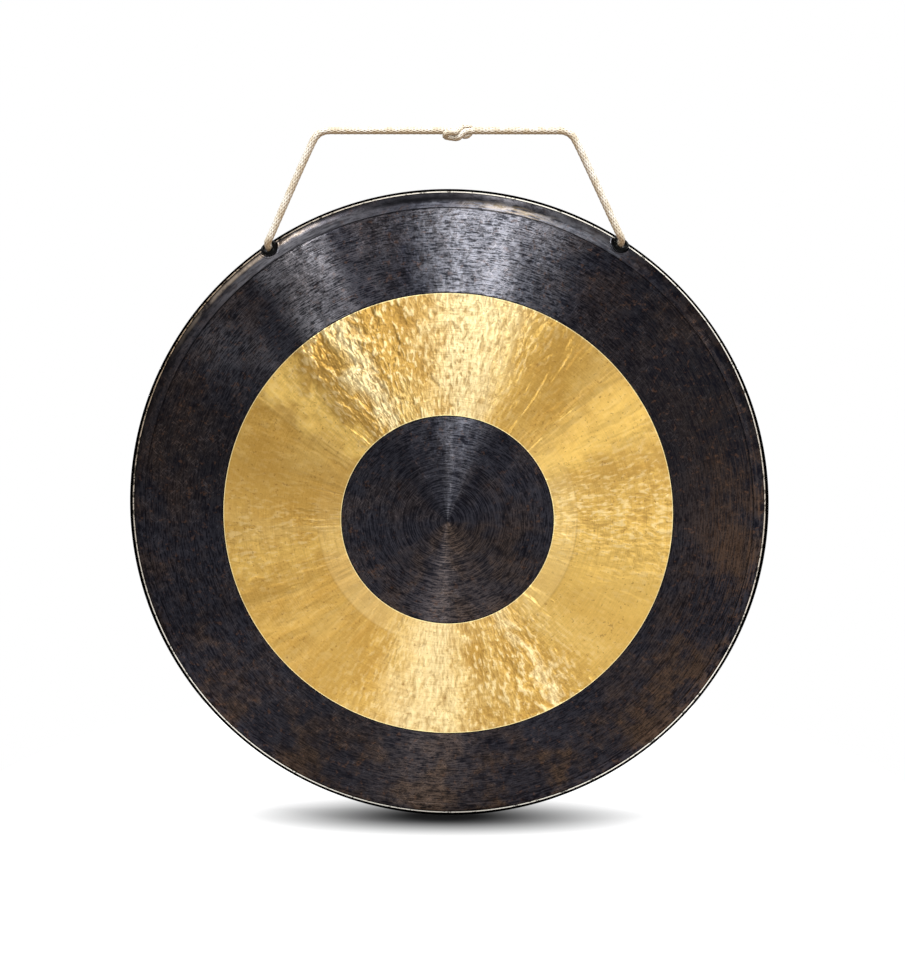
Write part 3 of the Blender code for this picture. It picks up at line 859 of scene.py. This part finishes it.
def disc_rings():
    """The section's points as (radius, height, finish), from the face's middle round to the back's."""
    rings = []
    zones = (
        (FACE_STEP, BAND_INNER_RADIUS - BAND_EDGE, "centre"),
        (BAND_INNER_RADIUS - BAND_EDGE, BAND_INNER_RADIUS, "edge"),
        (BAND_INNER_RADIUS, BAND_OUTER_RADIUS, "band"),
        (BAND_OUTER_RADIUS, BAND_OUTER_RADIUS + BAND_EDGE, "edge"),
        (BAND_OUTER_RADIUS + BAND_EDGE, LINE_RADIUS - LINE_WIDTH / 2, "outer"),
        (LINE_RADIUS - LINE_WIDTH / 2, LINE_RADIUS, "outer"),
        (LINE_RADIUS, LINE_RADIUS + LINE_WIDTH / 2, "shoulder"),
    )
    for start, end, finish in zones:
        radii = even_steps(start, end, FACE_STEP)[:-1]
        rings += [(r, dome_height(r) - incised(r), finish) for r in radii]
    after_line = even_steps(LINE_RADIUS + LINE_WIDTH / 2, shoulder_point(SHOULDER_START)[0], FACE_STEP)
    rings += [(r, dome_height(r), "shoulder") for r in after_line[:-1]]
    arc = even_steps(SHOULDER_START, SHOULDER_END, SHOULDER_STEP)
    rings += [shoulder_point(a) + ("shoulder",) for a in arc[:-1]]
    back_z = shoulder_point(SHOULDER_START)[1] - RIM_DEPTH
    rim_heights = even_steps(shoulder_point(SHOULDER_END)[1], back_z + EDGE_ROUNDING, BACK_STEP)
    rings += [rim_point(z) + ("rim",) for z in rim_heights]
    edge_outer = rim_point(back_z)[0]
    edge_inner = rim_point(back_z, PLATE_THICKNESS)[0]
    rings.append((edge_outer - EDGE_ROUNDING, back_z, "rim"))
    rings.append((edge_inner + EDGE_ROUNDING, back_z, "rim"))
    rings += [rim_point(z, PLATE_THICKNESS) + ("back",) for z in reversed(rim_heights)]
    inner_arc = even_steps(SHOULDER_END, SHOULDER_START, SHOULDER_STEP * 2)[1:]
    rings += [shoulder_point(a, PLATE_THICKNESS) + ("back",) for a in inner_arc]
    inner_radii = even_steps(shoulder_point(SHOULDER_START, PLATE_THICKNESS)[0], BACK_STEP, BACK_STEP)[1:]
    rings += [(r, dome_height(r, PLATE_THICKNESS), "back") for r in inner_radii]
    return rings


def hammered(x, y, seed=7):
    """How far hammering moves the plate at each place: dents, and slow waves between them."""
    random = np.random.default_rng(seed)
    depth = np.zeros_like(x)
    for count, low, high, deep in DENTS:
        reach = DENTED_RADIUS * np.sqrt(random.random(count))
        turn = random.random(count) * 2 * math.pi
        size = low + (high - low) * random.random(count)
        push = deep * (random.random(count) - DENT_RAISED_SHARE)
        for r, a, s, p in zip(reach, turn, size, push):
            strength = UNHAMMERED_SHARE
            for centre, width, most in HAMMERED:
                off = abs((math.degrees(a) - centre + 180) % 360 - 180)
                strength += most * max(0.0, 1 - off / width)
            gap = (x - r * math.sin(a)) ** 2 + (y - r * math.cos(a)) ** 2
            near = gap < (DENT_SPREAD * s) ** 2
            depth[near] += strength * p * np.exp(-gap[near] / (s * s))
    waves = np.sin(x * 41 + 1.3) * np.sin(y * 37 + 0.4) + 0.6 * np.sin(x * 73 - y * 52 + 2.0)
    return depth + WAVE_HEIGHT * waves


def eyelet_frame(side):
    """X round the rim, Y towards it, Z out of the shoulder, in the disc's frame."""
    radius, height = shoulder_point(HOLE_SHOULDER_ANGLE, PLATE_THICKNESS / 2)
    cosine = math.cos(HOLE_SHOULDER_ANGLE)
    sine = math.sin(HOLE_SHOULDER_ANGLE)
    top = ((1, 0, 0, 0), (0, cosine, sine, radius), (0, -sine, cosine, height), (0, 0, 0, 1))
    return Matrix.Rotation(-side * HOLE_HALF_ANGLE, 4, "Z") @ Matrix(top)


RIGHT_HOLE = eyelet_frame(1).translation
PIVOT = Vector((0, RIGHT_HOLE.y + TILT_PIVOT[0] * MM, RIGHT_HOLE.z + TILT_PIVOT[1] * MM))
GONG_TURN = Matrix.Rotation(math.pi / 2 + GONG_LEAN, 4, "X") @ Matrix.Rotation(GONG_ROLL, 4, "Z")
GONG_PLACE = Matrix.Translation((0, 0, -HANG_DROP)) @ GONG_TURN @ Matrix.Translation(-PIVOT)


def added(name, data):
    made = bpy.data.objects.new(name, data)
    bpy.context.scene.collection.objects.link(made)
    return made


def mesh_object(name, points, faces, smooth_angle=math.radians(40)):
    mesh = bpy.data.meshes.new(name)
    mesh.from_pydata(points, [], faces)
    mesh.update()
    mesh.set_sharp_from_angle(angle=smooth_angle)
    return added(name, mesh)


def make_disc():
    rings = disc_rings()
    radii = np.array([r for r, z, finish in rings])
    heights = np.array([z for r, z, finish in rings])
    turn = np.arange(TURNING_STEPS) * (2 * math.pi / TURNING_STEPS)
    x = radii[:, None] * np.cos(turn)
    y = radii[:, None] * np.sin(turn)
    on_face = np.clip((LINE_RADIUS - HAMMERING_ENDS - radii) / HAMMERING_FADES, 0, 1)
    z = heights[:, None] + hammered(x, y) * on_face[:, None]
    middle = hammered(np.zeros(1), np.zeros(1))[0]
    points = np.stack([x, y, z], -1).reshape(-1, 3)
    points = np.vstack([points, [[0, 0, middle], [0, 0, middle - PLATE_THICKNESS]]])
    front = len(points) - 2
    back = len(points) - 1
    faces = []
    finishes = []
    last = len(rings) - 1
    for i, (r, height, finish) in enumerate(rings[:-1]):
        row = i * TURNING_STEPS
        for k in range(TURNING_STEPS):
            after = (k + 1) % TURNING_STEPS
            faces.append((row + k, row + TURNING_STEPS + k, row + TURNING_STEPS + after, row + after))
            finishes.append(finish)
    for k in range(TURNING_STEPS):
        after = (k + 1) % TURNING_STEPS
        faces.append((front, k, after))
        finishes.append("centre")
        row = last * TURNING_STEPS
        faces.append((back, row + after, row + k))
        finishes.append("back")
    faces, finishes = pierced(points, faces, finishes)
    disc = mesh_object("bronze_disc", points.tolist(), faces)
    looks = {
        "centre": patina("bronze_patina_centre"),
        "band": polished_bronze(),
        "outer": patina("bronze_patina_outer"),
        "edge": turned_edge(),
        "shoulder": shoulder_patina(),
        "rim": rim_patina(),
        "back": patina("bronze_patina_back"),
    }
    for look in looks.values():
        disc.data.materials.append(look)
    order = list(looks)
    disc.data.polygons.foreach_set("material_index", [order.index(f) for f in finishes])
    disc.matrix_world = GONG_PLACE
    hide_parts("gong_disc")
    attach(disc, "gong")


def pierced(points, faces, finishes):
    """The faces without those inside the two eyelets' holes."""
    centres = np.array([points[list(face)].mean(axis=0) for face in faces])
    inside = np.zeros(len(faces), bool)
    for side in (-1, 1):
        turn = np.array(eyelet_frame(side).inverted())
        local = centres @ turn[:3, :3].T + turn[:3, 3]
        reach = np.hypot(local[:, 0], local[:, 1])
        inside |= (reach < HOLE_OPENED) & (np.abs(local[:, 2]) < PLATE_THICKNESS * 3)
    kept = [i for i in range(len(faces)) if not inside[i]]
    return [faces[i] for i in kept], [finishes[i] for i in kept]


def grommet_section():
    outer = GROMMET_BORE_RADIUS + FLANGE_WIDTH
    middle = (GROMMET_BORE_RADIUS + outer) / 2
    seat = PLATE_THICKNESS / 2 + SEAT_GAP
    lip = seat + FLANGE_WALL
    neck = HOLE_RADIUS - SEAT_GAP
    arc = [math.pi * i / FLANGE_ARC_STEPS for i in range(FLANGE_ARC_STEPS + 1)]
    top = [(middle - FLANGE_WIDTH / 2 * math.cos(a), lip + FLANGE_CROWN * math.sin(a)) for a in arc]
    bottom = [(r, -z) for r, z in reversed(top)]
    return top + [(outer, seat), (neck, seat), (neck, -seat), (outer, -seat)] + bottom


def shoulder_fall(around_rim, across, height):
    bend = SHOULDER_RADIUS if height > 0 else SHOULDER_RADIUS - PLATE_THICKNESS
    turn = shoulder_point(HOLE_SHOULDER_ANGLE)[0] / math.sin(HOLE_SHOULDER_ANGLE)
    return bend - math.sqrt(bend**2 - across**2) + around_rim**2 / (2 * turn)


def make_grommet(side, word, look):
    section = grommet_section()
    points = []
    for k in range(GROMMET_STEPS):
        turn = 2 * math.pi * k / GROMMET_STEPS
        for r, z in section:
            x = r * math.cos(turn)
            y = r * math.sin(turn)
            points.append(eyelet_frame(side) @ Vector((x, y, z - shoulder_fall(x, y, z))))
    count = len(section)
    faces = []
    for k in range(GROMMET_STEPS):
        here = k * count
        there = (k + 1) % GROMMET_STEPS * count
        for i in range(count):
            after = (i + 1) % count
            faces.append((here + i, here + after, there + after, there + i))
    ring = mesh_object("rubber_grommet_" + word, points, faces)
    ring.data.materials.append(look)
    ring.matrix_world = GONG_PLACE
    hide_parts("grommet_" + word)
    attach(ring, "gong")


# Cord


def spline_point(points, share):
    """A point between the middle two of four, on a Catmull-Rom curve paced by chord length."""
    knots = [0.0]
    for start, end in zip(points, points[1:]):
        knots.append(knots[-1] + math.sqrt((end - start).length))
    at = knots[1] + (knots[2] - knots[1]) * share
    layer = list(points)
    for width in (1, 2):
        layer = [
            layer[i].lerp(layer[i + 1], (at - knots[i]) / (knots[i + width] - knots[i]))
            for i in range(len(layer) - 1)
        ]
    return layer[0].lerp(layer[1], (at - knots[1]) / (knots[2] - knots[1]))


def smooth_line(route):
    ends = [2 * route[0] - route[1]] + list(route) + [2 * route[-1] - route[-2]]
    line = []
    for i in range(len(route) - 1):
        count = max(1, round((route[i + 1] - route[i]).length / CORD_STEP))
        line += [spline_point(ends[i : i + 4], k / count) for k in range(count)]
    return line + [route[-1]]


def bend(start, corner, end, reach):
    """Five points of the curve that rounds a corner of the cord, reach to each side of it."""
    first = corner + (start - corner).normalized() * reach
    last = corner + (end - corner).normalized() * reach
    return [first.lerp(corner, t).lerp(corner.lerp(last, t), t) for t in (0, 0.25, 0.5, 0.75, 1)]


def plait_height(turns, along):
    """The braid's relief, 0 to 1, where turns and along count plaits round the cord and along it."""
    right = turns + along
    left = turns - along
    over = (np.floor(right) + np.floor(left)) % 2
    ridge_right = np.abs(np.sin(math.pi * right))
    ridge_left = np.abs(np.sin(math.pi * left))
    first = ridge_right**PLAIT_STEEP * ridge_left**PLAIT_ROUND
    second = ridge_right**PLAIT_ROUND * ridge_left**PLAIT_STEEP
    return np.where(over == 0, first, second)


def braided(name, line, radii, start=0.0):
    """A braided tube along a line, with radii, one for each point of it. start is the length of
    cord that comes before it, so that the plaits run on."""
    line = [Vector(p) for p in line]
    tangents = [(b - a).normalized() for a, b in zip(line, line[1:])]
    between = [(a + b).normalized() for a, b in zip(tangents, tangents[1:])]
    tangents = [tangents[0]] + between + [tangents[-1]]
    side = tangents[0].orthogonal().normalized()
    lengths = [start]
    points = []
    turns = np.arange(CORD_SIDES) / CORD_SIDES * PLAITS
    for i, (place, ahead) in enumerate(zip(line, tangents)):
        if i:
            lengths.append(lengths[-1] + (place - line[i - 1]).length)
            side = (side - ahead * side.dot(ahead)).normalized()
        other = ahead.cross(side)
        relief = plait_height(turns, lengths[-1] / PLAIT_PITCH)
        for k in range(CORD_SIDES):
            angle = 2 * math.pi * k / CORD_SIDES
            reach = radii[i] - PLAIT_HEIGHT * (1 - relief[k])
            points.append(place + (side * math.cos(angle) + other * math.sin(angle)) * reach)
    faces = []
    marks = []
    for i in range(len(line) - 1):
        for k in range(CORD_SIDES):
            after = (k + 1) % CORD_SIDES
            row = i * CORD_SIDES
            faces.append((row + k, row + after, row + CORD_SIDES + after, row + CORD_SIDES + k))
            here = k / CORD_SIDES * PLAITS
            there = (k + 1) / CORD_SIDES * PLAITS
            low = lengths[i] / PLAIT_PITCH
            high = lengths[i + 1] / PLAIT_PITCH
            marks += [here, low, there, low, there, high, here, high]
    caps = ((0, line[0]), (len(line) - 1, line[-1]))
    for row, place in caps:
        points.append(place)
        middle = len(points) - 1
        for k in range(CORD_SIDES):
            first = row * CORD_SIDES + k
            second = row * CORD_SIDES + (k + 1) % CORD_SIDES
            faces.append((middle, second, first) if row == 0 else (middle, first, second))
            marks += [0.5] * 6
    tube = mesh_object(name, points, faces, math.radians(80))
    tube.data.uv_layers.new(name="plait").data.foreach_set("uv", marks)
    return tube, lengths[-1] - start


def knot_line():
    """The knot's line, drawn tight, turned round the cord and let down a little."""
    half = [Vector(point) for point in KNOT_HALF_ROUTE]
    other = [Vector((-x, y, -z)) for x, y, z in reversed(KNOT_HALF_ROUTE)]
    turn = Matrix.Rotation(KNOT_TURN, 3, "X") * KNOT_TIGHTENED
    reach = -KNOT_HALF_ROUTE[0][0] * KNOT_TIGHTENED
    route = []
    for point in half + [Vector(KNOT_CENTRE)] + other:
        placed = turn @ point
        placed.z -= KNOT_SAG * (1 - (placed.x / reach) ** 2) ** 2
        route.append(Vector((KNOT_OFFSET, 0, 0)) + placed * MM)
    return smooth_line(route)


def make_cord(look):
    cut = PEG_SPACING / 2 - RUN_CUT
    knot = knot_line()
    left = smooth_line([Vector((-cut, 0, 0)), knot[0]])
    right = smooth_line([knot[-1], Vector((cut, 0, 0))])
    line = left[:-1] + knot + right[1:]
    travelled = np.concatenate([[0], np.cumsum([(b - a).length for a, b in zip(knot, knot[1:])])])
    share = travelled / travelled[-1]
    inside = np.clip(np.minimum(share, 1 - share) / KNOT_NECK_SHARE, 0, 1)
    knot_radii = CORD_RADIUS + (KNOT_STRAND_RADIUS - CORD_RADIUS) * inside
    radii = [CORD_RADIUS] * (len(left) - 1) + list(knot_radii) + [CORD_RADIUS] * (len(right) - 1)
    top, length = braided("cord_over_the_pegs", line, radii)
    top.data.materials.append(look)
    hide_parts("cord_top_left", "cord_top_right", "cord_knot")
    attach(top, "hanger_top")
    line[::PATH_EVERY] + [line[-1]]
    for side, word in ((-1, "left"), (1, "right")):
        centre = eyelet_frame(side).translation
        passing = [centre + Vector((-side * i, u, f)) * MM for i, u, f in EYELET_ROUTE]
        other = eyelet_frame(-side).translation
        across = other + Vector((side * EYELET_ROUTE[-1][0], *EYELET_ROUTE[-1][1:])) * MM
        middle = passing[-1].lerp(across, 0.5)
        passing = [GONG_PLACE @ p for p in passing + [middle]]
        start = Vector((side * cut, 0, 0))
        corner = Vector((side * PEG_SPACING / 2, 0, 0))
        rounded = bend(start, corner, passing[0], PEG_BEND_REACH)
        line = smooth_line([start] + rounded + passing)
        leg, length = braided("cord_leg_" + word, line, [CORD_RADIUS] * len(line))
        leg.data.materials.append(look)
        nodes = ["cord_side_" + word, "cord_eyelet_" + word]
        if side == 1:
            nodes.append("cord_back_run")
        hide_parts(*nodes)
        top_of_bend = passing[0] + Vector((0, 0, BEND_ABOVE_EYELET))
        foot_of_bend = GONG_PLACE @ centre + Vector((0, 0, BEND_ABOVE_HOLE))
        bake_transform(leg)
        line[::PATH_EVERY] + [line[-1]]


# Studio


def turned_towards(first, second, angle):
    """Two directions square to each other, turned so that the first nears the second."""
    cosine = math.cos(angle)
    sine = math.sin(angle)
    return first * cosine + second * sine, second * cosine - first * sine


def camera():
    """The camera looks at the face from a little above it."""
    centre = GONG_PLACE @ Vector((0, 0, 0))
    across = Vector((1, 0, 0))
    up = Vector((0, -math.sin(GONG_LEAN), math.cos(GONG_LEAN)))
    out = across.cross(up)
    level = across * math.sin(CAMERA_YAW) + out * math.cos(CAMERA_YAW)
    towards = level * math.cos(CAMERA_ABOVE_FACE) + up * math.sin(CAMERA_ABOVE_FACE)
    view = -towards
    right = view.cross(up).normalized()
    top = right.cross(view)
    pan = math.atan((FACE_CENTRE_PIXEL[0] - IMAGE_WIDTH / 2) / FOCAL_PIXELS)
    tilt = math.atan((IMAGE_HEIGHT / 2 - FACE_CENTRE_PIXEL[1]) / FOCAL_PIXELS)
    right, view = turned_towards(right, view, pan)
    top, view = turned_towards(top, view, tilt)
    data = bpy.data.cameras.new("camera")
    data.sensor_fit = "HORIZONTAL"
    data.sensor_width = SENSOR_WIDTH
    data.lens = FOCAL_PIXELS / IMAGE_WIDTH * SENSOR_WIDTH
    place = Matrix((right, top, -view)).transposed().to_4x4()
    place.translation = centre + towards * CAMERA_DISTANCE
    made = added("camera", data)
    made.matrix_world = place
    bpy.context.scene.camera = made


def softbox(name, azimuth, elevation, distance, width, height, watts, tint):
    """A soft light turned to the middle of the face. Azimuth is to the right, in degrees."""
    centre = GONG_PLACE @ Vector((0, 0, 0))
    az = math.radians(azimuth)
    el = math.radians(elevation)
    out = Vector((math.sin(az) * math.cos(el), -math.cos(az) * math.cos(el), math.sin(el)))
    data = bpy.data.lights.new(name, "AREA")
    data.shape = "RECTANGLE"
    data.size = width
    data.size_y = height
    data.energy = watts
    data.color = tint
    made = added(name, data)
    made.location = centre + out * distance
    made.rotation_euler = out.to_track_quat("Z", "Y").to_euler()


FLOOR_DARK = colour(0.02, 0.02, 0.02)
FLOOR_PALE = colour(0.35, 0.35, 0.35)


def room_light():
    """A white room whose light is strongest from the right and from just under the horizon."""
    scene = bpy.context.scene
    scene.view_settings.view_transform = "Standard"
    scene.world = bpy.data.worlds.new("studio")
    room = Surface(scene.world, "Background", Color=colour(*WHITE))
    sideways, forward, up = room.parts(room.node("ShaderNodeTexCoord"))
    level = room.between(room.math("ABSOLUTE", up - ROOM_STRONGEST), *ROOM_BAND)
    level = level * room.between(up, *ROOM_BELOW)
    glow = room.between(sideways, *ROOM_SIDES) * level
    seen = room.node("ShaderNodeLightPath")
    room.finish(Strength=seen + (1.0 - seen) * glow)


def pale_floor():
    """A white, glowing floor with a soft shadow painted under the rim, in its colour and its glow."""
    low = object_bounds()[0]
    turns = [2 * math.pi * k / FLOOR_SIDES for k in range(FLOOR_SIDES)]
    edge = [(FLOOR_RADIUS * math.cos(turn), FLOOR_RADIUS * math.sin(turn), 0) for turn in turns]
    floor = mesh_object("floor", edge, [tuple(range(FLOOR_SIDES))])
    floor.location.z = low[2] - FLOOR_GAP
    ground = plain("pale_floor", Roughness=FLOOR_ROUGHNESS, Emission_Strength=1.0)
    x, y, z = ground.parts(ground.place())
    across = x * (1 / SHADE_ACROSS)
    deep = (y - SHADE_BACK) * (1 / SHADE_DEEP)
    away = ground.math("SQRT", across * across + deep * deep)
    far = ground.between(away, *SHADE_FADES)
    # Painted shadow: dark colour and no glow near the middle, white glow further out
    shade = ground.blend(far, FLOOR_DARK, FLOOR_PALE)
    light = ground.blend(far, colour(0.0, 0.0, 0.0), colour(*WHITE))
    floor.data.materials.append(ground.finish(Base_Color=shade, Emission_Color=light))
    floor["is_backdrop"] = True


def studio():
    room_light()
    for values in SOFTBOXES:
        softbox(*values)
    pale_floor()


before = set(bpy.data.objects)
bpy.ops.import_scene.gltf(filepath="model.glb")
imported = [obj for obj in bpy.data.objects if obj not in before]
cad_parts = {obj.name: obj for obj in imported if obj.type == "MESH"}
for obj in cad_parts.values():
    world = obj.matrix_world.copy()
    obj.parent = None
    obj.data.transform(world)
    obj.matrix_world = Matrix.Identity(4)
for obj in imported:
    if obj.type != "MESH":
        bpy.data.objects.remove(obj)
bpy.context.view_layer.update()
camera()
make_disc()
rubber = black_rubber()
make_grommet(-1, "left", rubber)
make_grommet(1, "right", rubber)
make_cord(cotton())
studio()
